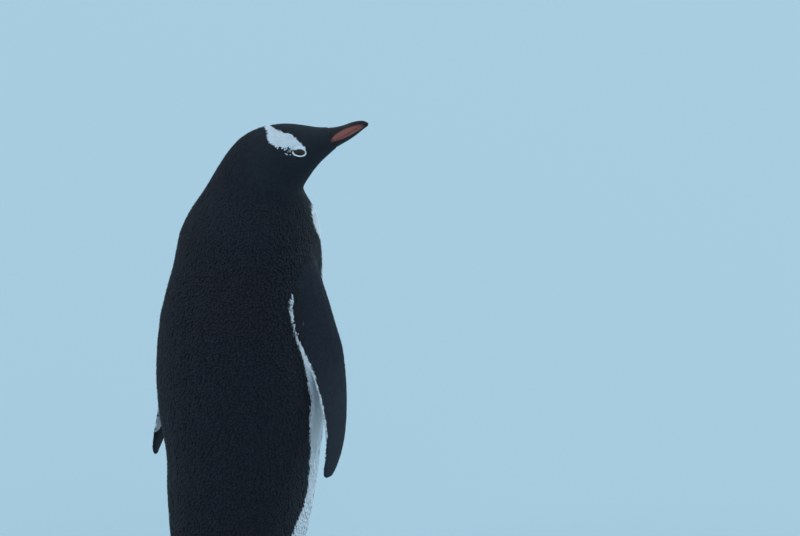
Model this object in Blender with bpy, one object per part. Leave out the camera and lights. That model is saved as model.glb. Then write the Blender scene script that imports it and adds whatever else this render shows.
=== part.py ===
"""A gentoo penguin at rest, life size.

It stands upright with its neck drawn in, its flippers hanging and its head turned to its right.

Blender 4.5, metres, +Z up. The bird faces -Y, its left side is +X, and it stands on the floor at Z = 0.
Shapes are described in the straight bird as (side, forward, up), in millimetres. The neck then twists
about its own upright axis, which carries the head and bill round to the side.
"""

import math
from typing import NamedTuple

import bmesh
import bpy
from mathutils import Matrix, Vector

MM = 0.001
GAP = 0.35  # between pieces that meet, in millimetres

# Driving dimensions, in millimetres and degrees.
HEAD_TURN = 60.0  # to the bird's right
HEAD_ROLL = 5.0  # crown towards the right cheek
NECK_AXIS = 20.0  # the upright axis of the twist, forward of the origin
HEAD_HUB = 566.0  # height about which the head rolls
EYE = (80.5, 565.5)  # forward, up
EYE_OUT = 21.7  # middle of the eyeball from the head's middle plane
EYEBALL = 8.5  # radius
BILL_PARTING = (0.40, 0.52)  # height of the mouth line in the bill, at its base and at its tip
LEG_OUT = 39.0
ANKLE = 24.0  # height of the seam between leg and foot
HEEL = (-2.0, 9.0)  # forward, up: where the toes spring from
TOES = {  # angle outwards, length, radius at root and end
    "inner": (-16.0, 58.0, 8.6, 6.6),
    "middle": (8.0, 76.0, 9.6, 7.2),
    "outer": (30.0, 68.0, 9.0, 6.8),
}
CLAW_LENGTH = 16.0
WEB_THICKNESS = 3.0
WEB_HEIGHT = 4.2
TAIL_WIDTH = 50.0
BODY_SIDES = 28
LIMB_SIDES = 14
RINGS_PER_STEP = 2


class Ring(NamedTuple):
    """A cross section of the body, laid between a front and a back point of the middle plane."""

    name: str
    front: tuple  # (forward, up)
    back: tuple
    half_width: float
    turn: float  # share of HEAD_TURN
    square: float  # 2 is an ellipse, more is boxier


BODY = [
    Ring("vent", (-6, 43), (-46, 55), 26, 0, 2.0),
    Ring("seat", (28, 51), (-71, 73), 54, 0, 2.2),
    Ring("rump", (57, 76), (-84, 97), 70, 0, 2.25),
    Ring("thighs", (76, 115), (-88, 127), 77.5, 0, 2.2),
    Ring("paunch", (91, 167), (-88, 173), 84, 0, 2.15),
    Ring("loin", (99, 208), (-86, 210), 86.3, 0, 2.15),
    Ring("belly", (99, 250), (-89.5, 250), 94.3, 0, 2.15),
    Ring("waist", (99, 305), (-92.5, 305), 99, 0, 2.1),
    Ring("ribs", (98, 375), (-85.2, 372), 94.8, 0, 2.1),
    Ring("breast", (102, 430), (-64, 428), 86, 0, 2.1),
    Ring("shoulders", (104, 462), (-56, 463), 81, 0.02, 2.12),
    Ring("crop", (104.5, 483), (-43, 490), 71.5, 0.12, 2.15),
    Ring("neck_base", (96, 500), (-30.3, 510), 59.5, 0.40, 2.1),
    Ring("neck", (87.5, 511), (-21.2, 528.8), 49.5, 0.78, 2.0),
    Ring("nape", (84, 517), (-8.8, 551), 42.5, 1, 2.0),
    Ring("hindhead", (86, 523), (10, 574.5), 36.5, 1, 2.0),
    Ring("poll", (91, 531), (32.6, 587.8), 32.5, 1, 2.0),
    Ring("crown", (97, 540), (59, 593), 29, 1, 2.0),
    Ring("brow", (105.3, 550), (80, 591.8), 24, 1, 2.0),
    Ring("lore", (115, 559.2), (99, 589), 17, 1, 2.0),
    Ring("bill_base", (123, 566.4), (113.5, 588.8), 10.5, 1, 2.0),
]
NECK_CUT = 10  # place in BODY of the seam between trunk and neck
HEAD_CUT = 14  # and between neck and head


class Blade(NamedTuple):
    """A level cross section of a flipper, whose trailing edge points backwards."""

    up: float
    out: float
    forward: float
    chord: float
    thickness: float
    toe: float  # degrees by which the leading edge stands out from the body


FLIPPER = [
    Blade(456, 68, 13, 28, 20, 10),
    Blade(440, 76.5, 12.5, 43, 22, 14),
    Blade(416, 84.5, 9, 50, 20, 18),
    Blade(392, 91.5, 8.5, 54, 17, 21),
    Blade(366, 97, 9.5, 59, 14, 22),
    Blade(342, 103.3, 14, 60, 11.5, 18),
    Blade(320, 107, 19.5, 58.5, 10.5, 10),
    Blade(296, 110.3, 23.3, 56.5, 9.5, 4),
    Blade(268, 113.8, 23.5, 52, 8.5, 0),
    Blade(242, 117, 20, 45, 7.5, -2),
    Blade(223, 119, 12.8, 40, 6.5, -3),
    Blade(209, 119.6, 5.6, 33.5, 5.6, -3),
    Blade(200, 119.4, 1, 24.5, 4.8, -3),
    Blade(196, 119.2, 0.5, 12, 3.6, -3),
]

# How the tip of each flipper differs from the table: lower, farther out, and turned out.
FLIPPER_HANG = {"left": (5.0, 0.8, 30.0), "right": (0.0, 0.0, 0.0)}

LEG = [  # up, out, forward, half width, half depth
    (ANKLE, LEG_OUT, -2, 15.5, 18),
    (32, LEG_OUT, -3, 19, 23),
    (44, LEG_OUT - 1, -5, 23.5, 30),
    (58, LEG_OUT - 4, -9, 25, 34),
    (76, LEG_OUT - 9, -13, 22, 32),
]

TAIL = [  # forward, up, half width, half thickness
    (-34, 112, 16, 18),
    (-62, 90, 20, 16),
    (-88, 69, 24, 12.5),
    (-114, 48, 26, 9.5),
    (-140, 27, 24, 7),
    (-162, 10, 17.5, 5),
    (-176, -1.5, 9, 3.6),
]

BILL = [  # forward and up of the underside, then of the culmen, then the half width
    ((123, 566.4), (113.5, 588.8), 9.8),
    ((129, 570), (120.5, 589.4), 8.6),
    ((135.8, 574), (129.5, 591.4), 7.0),
    ((143.2, 579), (138.5, 594.8), 5.6),
    ((150.2, 584.6), (147, 596.9), 4.3),
    ((155.6, 589), (154, 596.9), 3.0),
    ((158.8, 591.3), (159.2, 594.4), 1.5),
]

COLOURS = {  # colour, roughness
    "back_feathers": ((0.030, 0.034, 0.046), 0.7),
    "head_feathers": ((0.022, 0.028, 0.038), 0.7),
    "flipper_feathers": ((0.032, 0.040, 0.055), 0.6),
    "leg_feathers": ((0.80, 0.80, 0.78), 0.8),
    "tail_feathers": ((0.028, 0.026, 0.028), 0.6),
    "bill_black": ((0.015, 0.013, 0.014), 0.35),
    "bill_orange": ((0.70, 0.13, 0.05), 0.4),
    "eye_brown": ((0.030, 0.014, 0.008), 0.08),
    "foot_skin": ((0.72, 0.27, 0.14), 0.6),
    "claw_horn": ((0.03, 0.024, 0.02), 0.4),
}


# ---------------------------------------------------------------- numbers and curves


def smooth(values, at):
    """Catmull-Rom through evenly spaced values, read at a place between 0 and len(values) - 1."""
    i = min(int(at), len(values) - 2)
    t = at - i
    a, b = values[i], values[i + 1]
    before = values[i - 1] if i else 2 * a - b
    after = values[i + 2] if i + 2 < len(values) else 2 * b - a
    return 0.5 * (
        2 * a
        + (b - before) * t
        + (2 * before - 5 * a + 4 * b - after) * t * t
        + (3 * a - before - 3 * b + after) * t * t * t
    )


def smooth_row(rows, at):
    return [smooth([row[k] for row in rows], at) for k in range(len(rows[0]))]


def power(value, exponent):
    return math.copysign(abs(value) ** exponent, value)


def circle(sides):
    return [2 * math.pi * i / sides for i in range(sides)]


def twisted(point, share):
    """A point of the straight bird carried round with the neck, in millimetres of the finished frame."""
    side, forward, up = point
    roll = math.radians(HEAD_ROLL) * share
    rise = up - HEAD_HUB
    rolled = Vector(
        (
            side * math.cos(roll) - rise * math.sin(roll),
            NECK_AXIS - forward,
            HEAD_HUB + side * math.sin(roll) + rise * math.cos(roll),
        )
    )
    turned = Matrix.Rotation(-math.radians(HEAD_TURN) * share, 3, "Z") @ rolled
    return turned - Vector((0, NECK_AXIS, 0))


def standing(side, forward, up):
    return Vector((side, -forward, up))


# ---------------------------------------------------------------- meshes


def add_mesh(name, build, collection):
    made = bmesh.new()
    build(made)
    bmesh.ops.recalc_face_normals(made, faces=made.faces)
    mesh = bpy.data.meshes.new(name)
    made.to_mesh(mesh)
    made.free()
    mesh.shade_smooth()
    mesh.set_sharp_from_angle(angle=math.radians(40))
    thing = bpy.data.objects.new(name, mesh)
    collection.objects.link(thing)
    return thing


def loft(name, rings, collection):
    """A closed solid through rings of points in millimetres, with flat ends."""

    def build(made):
        rows = [[made.verts.new(p * MM) for p in ring] for ring in rings]
        for low, high in zip(rows, rows[1:]):
            for i in range(len(low)):
                j = (i + 1) % len(low)
                made.faces.new((low[i], low[j], high[j]))
                made.faces.new((low[i], high[j], high[i]))
        made.faces.new(rows[0])
        made.faces.new(rows[-1])

    return add_mesh(name, build, collection)


def ball(name, centre, radius, collection, segments=14):
    def build(made):
        bmesh.ops.create_uvsphere(
            made, u_segments=segments, v_segments=segments * 2 // 3, radius=radius * MM
        )
        bmesh.ops.translate(made, verts=made.verts, vec=centre * MM)

    return add_mesh(name, build, collection)


def box(name, low, high, collection):
    def build(made):
        bmesh.ops.create_cube(made, size=1.0)
        size = high - low
        for vert in made.verts:
            vert.co = Vector(((low + high)[k] / 2 + vert.co[k] * size[k] for k in range(3))) * MM

    return add_mesh(name, build, collection)


def combine(thing, other, operation):
    change = thing.modifiers.new(operation.lower() + "_" + other.name, "BOOLEAN")
    change.operation = operation
    change.solver = "EXACT"
    change.object = other


def ring_normal(ring):
    normal = Vector((0, 0, 0))
    for a, b in zip(ring, ring[1:] + ring[:1]):
        normal += a.cross(b)
    return normal.normalized()


def shifted(ring, towards, distance):
    """A flat ring moved squarely off its own plane, to the side where another ring lies."""
    normal = ring_normal(ring)
    middle = sum(ring, Vector()) / len(ring)
    other = sum(towards, Vector()) / len(towards)
    sign = 1 if (other - middle).dot(normal) > 0 else -1
    return [p + normal * sign * distance for p in ring]


# ---------------------------------------------------------------- the body in one sweep


def body_ring(at, grow=0.0):
    """The points round the body at a place along BODY, 0 at its first ring."""
    front = Vector(smooth_row([r.front for r in BODY], at))
    back = Vector(smooth_row([r.back for r in BODY], at))
    half_width, turn, square = smooth_row([r[3:6] for r in BODY], at)
    turn = min(max(turn, 0), 1)
    middle, reach = (front + back) / 2, (front - back) / 2
    reach = reach * (1 + grow / reach.length)
    ring = []
    for angle in circle(BODY_SIDES):
        place = middle + reach * power(math.cos(angle), 2 / square)
        out = (half_width + grow) * power(math.sin(angle), 2 / square)
        ring.append(twisted((out, place.x, place.y), turn))
    return ring


def body_rings(first, last, grow=0.0):
    """The rings from one seam to the next; each piece stops half a gap short of its seams."""
    steps = (last - first) * RINGS_PER_STEP
    rings = [body_ring(first + i / RINGS_PER_STEP, grow) for i in range(steps + 1)]
    if first > 0:
        rings[0] = shifted(rings[0], rings[1], GAP / 2)
    elif grow:
        rings[0] = shifted(rings[0], rings[1], -grow)
    if last < len(BODY) - 1:
        rings[-1] = shifted(rings[-1], rings[-2], GAP / 2)
    return rings


# ---------------------------------------------------------------- flippers


def blade_ring(at, side, grow=0.0):
    blade = Blade(*smooth_row(FLIPPER, at))
    hang = at / (len(FLIPPER) - 1)
    lower, farther, turned = FLIPPER_HANG["left" if side > 0 else "right"]
    toe = math.radians(blade.toe + turned * hang**4)
    half_chord = blade.chord / 2 + grow
    half_thickness = blade.thickness / 2 + grow
    ring = []
    for angle in circle(LIMB_SIDES):
        along = math.cos(angle) * half_chord
        off = math.sin(angle) * half_thickness * (0.82 + 0.18 * math.cos(angle))
        out = blade.out + farther * hang + math.sin(toe) * along + math.cos(toe) * off
        forward = blade.forward + math.cos(toe) * along - math.sin(toe) * off
        ring.append(standing(side * out, forward, blade.up - lower * hang**2))
    return ring


def flipper_rings(side, grow=0.0):
    steps = (len(FLIPPER) - 1) * 2
    rings = [blade_ring(i / 2, side, grow) for i in range(steps + 1)]
    if grow:
        rings[0] = shifted(rings[0], rings[1], -grow)
        rings[-1] = shifted(rings[-1], rings[-2], -grow)
    return rings


# ---------------------------------------------------------------- legs, feet and claws


def leg_rings(side):
    rings = []
    for i in range((len(LEG) - 1) * 2 + 1):
        up, out, forward, half_width, half_depth = smooth_row(LEG, i / 2)
        ring = []
        for angle in circle(LIMB_SIDES):
            across = side * (out + half_width * math.sin(angle))
            ring.append(standing(across, forward + half_depth * math.cos(angle), up))
        rings.append(ring)
    return rings


def toe_axis(side, angle):
    turn = math.radians(angle)
    return Vector((side * math.sin(turn), -math.cos(turn), 0))


def round_section(centre, across, half_width, half_height, sides):
    """An upright oval round a centre."""
    ring = []
    for around in circle(sides):
        rise = Vector((0, 0, half_height * math.sin(around)))
        ring.append(centre + across * half_width * math.cos(around) + rise)
    return ring


def toe_rings(side, toe):
    """A toe with three low knuckles, from the heel to the root of its claw."""
    angle, length, root, end = TOES[toe]
    axis = toe_axis(side, angle)
    across = axis.cross(Vector((0, 0, 1)))
    start = standing(side * LEG_OUT, *HEEL)
    rings = []
    count = 8
    for i in range(count + 1):
        share = i / count
        radius = root + (end - root) * share + 0.7 * math.cos(share * 6 * math.pi)
        radius *= 1 - 0.25 * max(0, share - 0.9) / 0.1
        height = HEEL[1] + (5.6 - HEEL[1]) * min(1, share * 1.6)
        centre = start + axis * length * share
        centre.z = height
        rings.append(round_section(centre, across, radius, radius * 0.92, 10))
    return rings


def claw_rings(root, axis, radius, length, drop):
    """A curved horn cone whose point drops towards the floor."""
    across = axis.cross(Vector((0, 0, 1)))
    rings = []
    for i in range(5):
        share = i / 4
        size = radius * (1 - share) ** 0.75 + 0.45
        bend = math.radians(50) * share
        centre = root + axis * length * share
        centre.z = root.z - drop * share * share
        tall = axis * math.sin(bend) + Vector((0, 0, math.cos(bend)))
        ring = []
        for around in circle(8):
            ring.append(centre + across * size * 0.8 * math.cos(around) + tall * size * math.sin(around))
        rings.append(ring)
    return rings


def front_claw(side, toe):
    angle, length, _, end = TOES[toe]
    axis = toe_axis(side, angle)
    root = standing(side * LEG_OUT, HEEL[0], 0) + axis * (length + GAP)
    root.z = 5.6
    return claw_rings(root, axis, end * 0.58, CLAW_LENGTH, 4.3)


def hind_toe(side):
    """The start, direction and length of the small toe on the inside of the heel."""
    start = standing(side * (LEG_OUT - 10), -4, 11)
    return start, toe_axis(side, -52), 13.0


def hind_toe_rings(side):
    start, axis, length = hind_toe(side)
    across = axis.cross(Vector((0, 0, 1)))
    rings = []
    for i in range(5):
        share = i / 4
        radius = 5.2 - 1.9 * share
        centre = start + axis * length * share - Vector((0, 0, 3.0 * share))
        rings.append(round_section(centre, across, radius, radius, 8))
    return rings


def hind_claw(side):
    start, axis, length = hind_toe(side)
    root = start + axis * (length + GAP) - Vector((0, 0, 3.0))
    return claw_rings(root, axis, 2.2, 8.0, 4.5)


def web_rings(side):
    """The skin between the toes: a fan whose front edge is drawn in between them."""
    start = standing(side * LEG_OUT, HEEL[0] - 6, 0)
    order = ["inner", "middle", "outer"]
    edge = []
    for first, second in zip(order, order[1:]):
        angle_a, length_a = TOES[first][:2]
        angle_b, length_b = TOES[second][:2]
        for i in range(8):
            share = i / 8
            angle = angle_a + (angle_b - angle_a) * share
            reach = (length_a + (length_b - length_a) * share) * (0.94 - 0.13 * math.sin(math.pi * share))
            edge.append((angle, reach + 6))
    edge.append((TOES["outer"][0], TOES["outer"][1] * 0.93 + 6))
    low = [start + toe_axis(side, angle) * reach for angle, reach in edge]
    low.append(start)
    bottom = WEB_HEIGHT - WEB_THICKNESS / 2
    return [[p + Vector((0, 0, z)) for p in low] for z in (bottom, bottom + WEB_THICKNESS)]


def instep_rings(side):
    """The short tarsus, from its seam with the leg down to the roots of the toes and the heel pad."""
    rows = [
        (ANKLE - GAP, -2, 15, 17.5),
        (18, -2, 14.5, 16.5),
        (11, -1, 15.5, 18),
        (4, 0, 16, 19),
        (-2, 0, 14, 17),
    ]
    rings = []
    for up, forward, half_width, half_depth in rows:
        ring = []
        for angle in circle(LIMB_SIDES):
            across = side * (LEG_OUT + half_width * math.sin(angle))
            ring.append(standing(across, forward + half_depth * math.cos(angle), up))
        rings.append(ring)
    return rings


def add_foot(name, side, parts, cutters, floor):
    foot = loft(name, instep_rings(side), parts)
    for toe in TOES:
        combine(foot, loft(f"{name}_{toe}_shape", toe_rings(side, toe), cutters), "UNION")
    combine(foot, loft(f"{name}_hind_shape", hind_toe_rings(side), cutters), "UNION")
    combine(foot, loft(f"{name}_web_shape", web_rings(side), cutters), "UNION")
    combine(foot, floor, "DIFFERENCE")
    return foot


# ---------------------------------------------------------------- tail and bill


def tail_rings():
    rings = []
    count = (len(TAIL) - 1) * 2
    for i in range(count + 1):
        forward, up, half_width, half_thick = smooth_row(TAIL, i / 2)
        before = smooth_row(TAIL, max(i / 2 - 0.25, 0))
        after = smooth_row(TAIL, min(i / 2 + 0.25, len(TAIL) - 1))
        along = Vector((after[0] - before[0], after[1] - before[1])).normalized()
        square = Vector((-along.y, along.x))
        ring = []
        for angle in circle(LIMB_SIDES):
            off = half_thick * math.sin(angle)
            side = half_width * power(math.cos(angle), 0.8)
            ring.append(standing(side, forward + square.x * off, up + square.y * off))
        rings.append(ring)
    return rings


def bill_rings(upper):
    """Rings of one half of the bill, cut off flat along the mouth line."""
    rows = [(*low, *high, width) for low, high, width in BILL]
    rings = []
    count = (len(BILL) - 1) * 2
    for i in range(count + 1):
        low_f, low_u, high_f, high_u, width = smooth_row(rows, i / 2)
        low, high = Vector((low_f, low_u)), Vector((high_f, high_u))
        parting = BILL_PARTING[0] + (BILL_PARTING[1] - BILL_PARTING[0]) * (i / count)
        reach = (high - low).length
        middle = low + (high - low) * parting
        along = (high - low).normalized()
        height = reach * (1 - parting) if upper else reach * parting
        height -= GAP / 2
        seam = middle + along * (GAP / 2 if upper else -GAP / 2)
        ring = []
        for k in range(13):
            angle = math.pi * k / 12
            rise = height * math.sin(angle) ** 0.9
            place = seam + along * (rise if upper else -rise)
            ring.append(twisted((width * math.cos(angle), place.x, place.y), 1))
        rings.append(ring)
    rings[0] = shifted(rings[0], rings[1], GAP)
    return rings


# ---------------------------------------------------------------- the whole bird


def eye_centre(side):
    return twisted((side * EYE_OUT, *EYE), 1)


def paint(thing, slot):
    material = bpy.data.materials.get(slot) or bpy.data.materials.new(slot)
    material.use_nodes = True
    shader = material.node_tree.nodes["Principled BSDF"]
    colour, roughness = COLOURS[slot]
    shader.inputs["Base Color"].default_value = (*colour, 1)
    shader.inputs["Roughness"].default_value = roughness
    shader.inputs["Metallic"].default_value = 0
    material.diffuse_color = (*colour, 1)
    thing.data.materials.append(material)


def add_body(parts, cutters):
    trunk = loft("trunk", body_rings(0, NECK_CUT), parts)
    neck = loft("neck", body_rings(NECK_CUT, HEAD_CUT), parts)
    head = loft("head", body_rings(HEAD_CUT, len(BODY) - 1), parts)
    paint(trunk, "back_feathers")
    paint(neck, "head_feathers")
    paint(head, "head_feathers")
    for word, side in (("left", 1), ("right", -1)):
        eye = ball(f"eye_{word}", eye_centre(side), EYEBALL, parts)
        paint(eye, "eye_brown")
        socket = ball(f"socket_{word}", eye_centre(side), EYEBALL + GAP, cutters)
        combine(head, socket, "DIFFERENCE")
        flipper = loft(f"flipper_{word}", flipper_rings(side), parts)
        paint(flipper, "flipper_feathers")
        recess = loft(f"recess_{word}", flipper_rings(side, GAP), cutters)
        combine(trunk, recess, "DIFFERENCE")


def add_stance(parts, cutters):
    floor = box("floor_cut", Vector((-200, -200, -40)), Vector((200, 300, 0)), cutters)
    seat = loft("trunk_clearance", body_rings(0, NECK_CUT, GAP), cutters)
    tail = loft("tail", tail_rings(), parts)
    combine(tail, floor, "DIFFERENCE")
    combine(tail, seat, "DIFFERENCE")
    paint(tail, "tail_feathers")
    for word, side in (("left", 1), ("right", -1)):
        leg = loft(f"leg_{word}", leg_rings(side), parts)
        combine(leg, seat, "DIFFERENCE")
        paint(leg, "leg_feathers")
        foot = add_foot(f"foot_{word}", side, parts, cutters, floor)
        paint(foot, "foot_skin")
        for toe in TOES:
            paint(loft(f"claw_{word}_{toe}", front_claw(side, toe), parts), "claw_horn")
        paint(loft(f"claw_{word}_hind", hind_claw(side), parts), "claw_horn")


def add_bill(parts):
    paint(loft("bill_upper", bill_rings(True), parts), "bill_black")
    paint(loft("bill_lower", bill_rings(False), parts), "bill_orange")


def new_collection(name):
    collection = bpy.data.collections.new(name)
    bpy.context.scene.collection.children.link(collection)
    return collection


def centre_on_floor(parts, cutters):
    """Put the origin under the middle of the bird's outline, on the floor."""
    bpy.context.view_layer.update()
    shapes = bpy.context.evaluated_depsgraph_get()
    corners = []
    for thing in parts.objects:
        done = thing.evaluated_get(shapes)
        corners += [done.matrix_world @ Vector(c) for c in done.bound_box]
    low = [min(c[k] for c in corners) for k in range(3)]
    high = [max(c[k] for c in corners) for k in range(3)]
    move = Matrix.Translation((-(low[0] + high[0]) / 2, -(low[1] + high[1]) / 2, -low[2]))
    for thing in [*parts.objects, *cutters.objects]:
        thing.data.transform(move)


def main():
    for thing in list(bpy.data.objects):
        bpy.data.objects.remove(thing)
    parts = new_collection("gentoo_penguin")
    cutters = new_collection("cutters")
    add_body(parts, cutters)
    add_stance(parts, cutters)
    add_bill(parts)
    centre_on_floor(parts, cutters)
    for thing in cutters.objects:
        thing.hide_render = True
        thing.display_type = "WIRE"


main()
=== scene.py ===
"""The looks of a life-size gentoo penguin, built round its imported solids.

Lengths in the tables are in millimetres. Body places are (side, forward, up) from the point on the floor
under the bird, with its left side positive; head places are the same from the middle between the eyes.
"""

import math

import bmesh
import bpy
import numpy as np
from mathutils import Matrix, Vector, bvhtree, kdtree


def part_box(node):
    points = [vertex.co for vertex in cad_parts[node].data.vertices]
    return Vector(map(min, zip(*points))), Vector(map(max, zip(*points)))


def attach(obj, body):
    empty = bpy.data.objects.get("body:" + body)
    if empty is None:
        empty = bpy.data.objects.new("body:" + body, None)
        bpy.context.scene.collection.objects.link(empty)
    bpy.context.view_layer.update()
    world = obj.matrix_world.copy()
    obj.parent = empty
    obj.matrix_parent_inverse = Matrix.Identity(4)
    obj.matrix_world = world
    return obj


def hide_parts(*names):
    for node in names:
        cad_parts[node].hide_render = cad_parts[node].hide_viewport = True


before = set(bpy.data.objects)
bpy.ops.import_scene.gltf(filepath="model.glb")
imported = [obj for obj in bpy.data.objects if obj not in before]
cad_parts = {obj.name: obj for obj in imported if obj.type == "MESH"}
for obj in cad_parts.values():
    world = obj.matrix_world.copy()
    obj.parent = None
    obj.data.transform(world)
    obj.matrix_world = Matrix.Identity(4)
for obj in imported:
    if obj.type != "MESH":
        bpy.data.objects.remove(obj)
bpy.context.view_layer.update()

MM = 0.001
SEED = 7
SIDES = {"left": 1, "right": -1}
FLESH = "trunk neck head flipper_left flipper_right tail leg_left leg_right foot_left foot_right".split()

# the skin's mesh
VOXEL = 1.6
SKIN_TRIANGLES = 150_000
SWELL = 0.45  # added while the skin is cast, so that it closes the solids' seams, and taken off again
SOFTNESS = {"trunk": 0.5, "neck": 0.5, "head": 0.12, "flipper": 0.06, "leg": 0.35, "tail": 0.10, "foot": 0.02}
SEAM_SOFTNESS = 0.6
FILL_ROUNDS = 3  # times the softened skin is brought back out to the solids
FILL_PAST = 0.35

# eyes and lids
EYE_OPENING = (6.2, 3.5, 3.0)  # half length, and height above and below its middle
EYE_LOOK = (0.06, 0.24)  # forward and up, against one out of the head
EYE_TILT = 4.0  # degrees, front corner down
EYE_SIDE = 21.7  # distance from the head's middle at which the patch's measures are taken
LID_RING = (8.2, 5.3)  # half length and height of the white ring
LID_THICKNESS = 0.9
LID_FOLD = 0.35  # height of the low fold round the lids
LID_EDGE = 1.42  # almond measure where feathers start
BALL_SIZE = 0.985  # of an eyeball, against the solid one
CORNEA = (40, 25, 0.035)  # degrees from the middle over which it rises, and how far, against the radius
PUPIL_EDGE = (17.5, 19)  # degrees from the middle
IRIS_EDGE = (39, 42)

# bill: forward along the head, and the top and foot of the orange on its side there
ORANGE = np.array(
    [
        (28, 6.6, 5.0), (31, 8.8, 6.3), (34, 11.2, 7.9), (37, 13.6, 9.0), (42, 17.8, 10.4), (48, 21.4, 12.0),
        (54, 24.0, 14.2), (62, 26.6, 18.0), (69, 27.6, 22.2), (74, 27.7, 25.2), (77, 27.4, 26.8),
    ]
)
ORANGE_START = (26.0, 35.0)  # over which it grows out of the black base
ORANGE_END = (76.0, 69.0)  # over which the black of the tip gives way to it
BILL_SWELL = 0.12  # closes the mouth line a little
BILL_ROOT = 5.0  # how far the horn runs in under the feathers
BILL_PLANE = np.array((0.0, 0.921, 0.390))  # squarely out of the bill's base
HORN_VOXEL = 0.4
FACE_REACH = (62.0, 14.0)  # distances from the bill over which feathers get shorter and finer

# feet
LEG_BACK = 8.8  # how far the middle of the legs lies behind that of the body's places
ANKLE_TOP = 26.0  # height where the feathers end
ANKLE_DROP = 16.0  # how much lower they end behind the heel
PLATE_GAP = 4.2  # between the low plates across the toes
PLATE_HEIGHT = 0.45
SOLE = 0.35  # height below which a foot lies on the floor

# white patch over each eye
PATCH_VIEW = (0.956, 0.29)  # shares of height and of distance inwards in the rise above the eye
PATCH_FOOT = 2.6
# reach past the patch's edge, front and top limits, and the share of feathers: white below it, dark inside
FLECKS = (6.0, -8.0, 8.0, 0.14)
HOLES = (3.2, -9.0, 9.0, 0.3)
# rise above the eye, and how far forward of it the patch's hind and fore edges lie
PATCH_HIND = np.array(
    [(2, -14), (3.5, -20.6), (7, -27.4), (11, -34), (18, -36), (24, -36.4), (30, -39.6), (36, -42)]
)
PATCH_FORE = np.array(
    [
        (5, 7.2), (8.3, 3.8), (12.3, -0.3), (16.4, -4.3), (20.5, -9.8), (22.5, -17.9), (26, -26), (30.6, -34),
        (36, -38),
    ]
)

# dark back: height, and how far forward it reaches there
SIDE_LINE = np.array(
    [
        (40, -95), (65, -80), (85, -48), (105, -24), (125, -11), (141, -2), (155, 7.5), (171, 12.6),
        (184, 15), (202, 16.5), (220, 13.6), (239, 5.3), (259, -0.5), (283, -0.5), (306, -7.5), (330, -13),
        (342, -16.5), (357, -22), (370, -24), (385, -25.3), (396, -24.3), (404, -20.5), (411, -16.6),
        (414, 10), (418, 50), (440, 64), (455, 63), (463, 55), (468.5, 50.5), (474.5, 47), (485.5, 48.5),
        (489, 51), (495, 57), (500, 66),
    ]
)
# height, and how far forward the white slit between back and flipper reaches there
SLIT_LINE = np.array(
    [
        (290, -2.4), (302, -3.8), (318, -6), (334, -10), (348, -14), (362, -20.3), (376, -22.8), (392, -21),
        (412, -15.5),
    ]
)
SLIT_FOOT = 345.0  # below this the flipper hangs clear of the flank
FLIPPER_ROOT = 16.0  # how far forward of the slit the flank under the flipper is painted dark as shade; the bird is white there
FLIPPER_TOP = 425.0  # height where the flipper runs into the shoulder
NECK_BLEND = (430, 500)  # heights over which the back's colour turns to the neck's
BIB_LINE = 497.0
BIB_DIP = (7, 38)  # how much lower the dark throat reaches at its middle, and how wide the dip is
BIB_SIDE = -12.0  # its middle, a little towards the side the bird looks to

# flippers
BLADE_THICK = 7.0
BLADE_BANDS = (4.0, 201)  # height and number of the bands in which its edges are found
BLADE_GRID = (6.0, 111, 40)  # side, rows and columns of the squares in which its outer face is found
# height, and how wide the white edge along the back of a flipper is there
WHITE_EDGE = np.array([(234, -2), (242, 0.3), (254, 0.8), (270, 1.2), (290, 1.6)])
DARK_TIP = (218.0, 0.45)  # top of the dark tip under a flipper at its trailing edge, and its rise forward
DARK_LEAD = 3.5  # width of the dark leading edge under a flipper

# vanes
COAT_DEPTH = {"trunk": 1.9, "neck": 1.7, "head": 1.1, "flipper": 0.7, "tail": 2.4, "leg": 1.6, "foot": 1.4}
SPACING = {"trunk": 2.6, "neck": 2.1, "head": 1.4, "flipper": 1.5, "tail": 3.2, "leg": 2.2, "foot": 2.0}
SPREAD = 0.86  # least distance between roots, against their spacing
TRIES = 4.2  # places tried for each root that the spacing leaves room for
VANE_LENGTH = 2.9  # against the space between roots
WING_LENGTH = 0.72  # of a flipper's vanes, against the others
VANE_WIDTH = 0.74  # half of it
VANE_ARCH = 0.22  # drop of the edges, against half the width
VANE_ROUND = 0.17  # how far the shading normals lean out at the edges
ROWS = np.array([0.0, 0.38, 0.72, 0.92, 1.0])  # along a vane, from its root
ROW_WIDTH = np.array([0.45, 0.92, 1.0, 0.62, 0.0])
VANE_POINTS = 13
LIE_START = (0, 16, 2)  # where the face's feathers part, from the middle of the bill's base
BARBS = 14.0  # radians of their wave in a millimetre
LOWEST = 0.6  # height of the lowest feathers
JITTER = 0.9  # how far the markings' edges stray from feather to feather
TIP_SHADE = [0.8, 0.95, 1.18]
DARK = 0.2  # tints below this vary and pale at the tip
PATCH = (0.0014, 0.003)  # half width and length of a feather's patch on the bake map
MARGIN = 0.005

# tail
QUILLS = 38  # long stiff feathers round the tail
QUILL_HALF = 3.7
QUILL_ROWS = 14
QUILL_SIDES = np.array([-1.0, -0.55, -0.1, 0.0, 0.1, 0.55, 1.0])
TAIL_LINE = ((-56, 96), (-177, 1))  # forward and up of its middle, at the rump and at the tip
TAIL_OVAL = (24.0, 9.0)
TAIL_DARK = -105.0  # behind this the tail is dark below too

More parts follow.
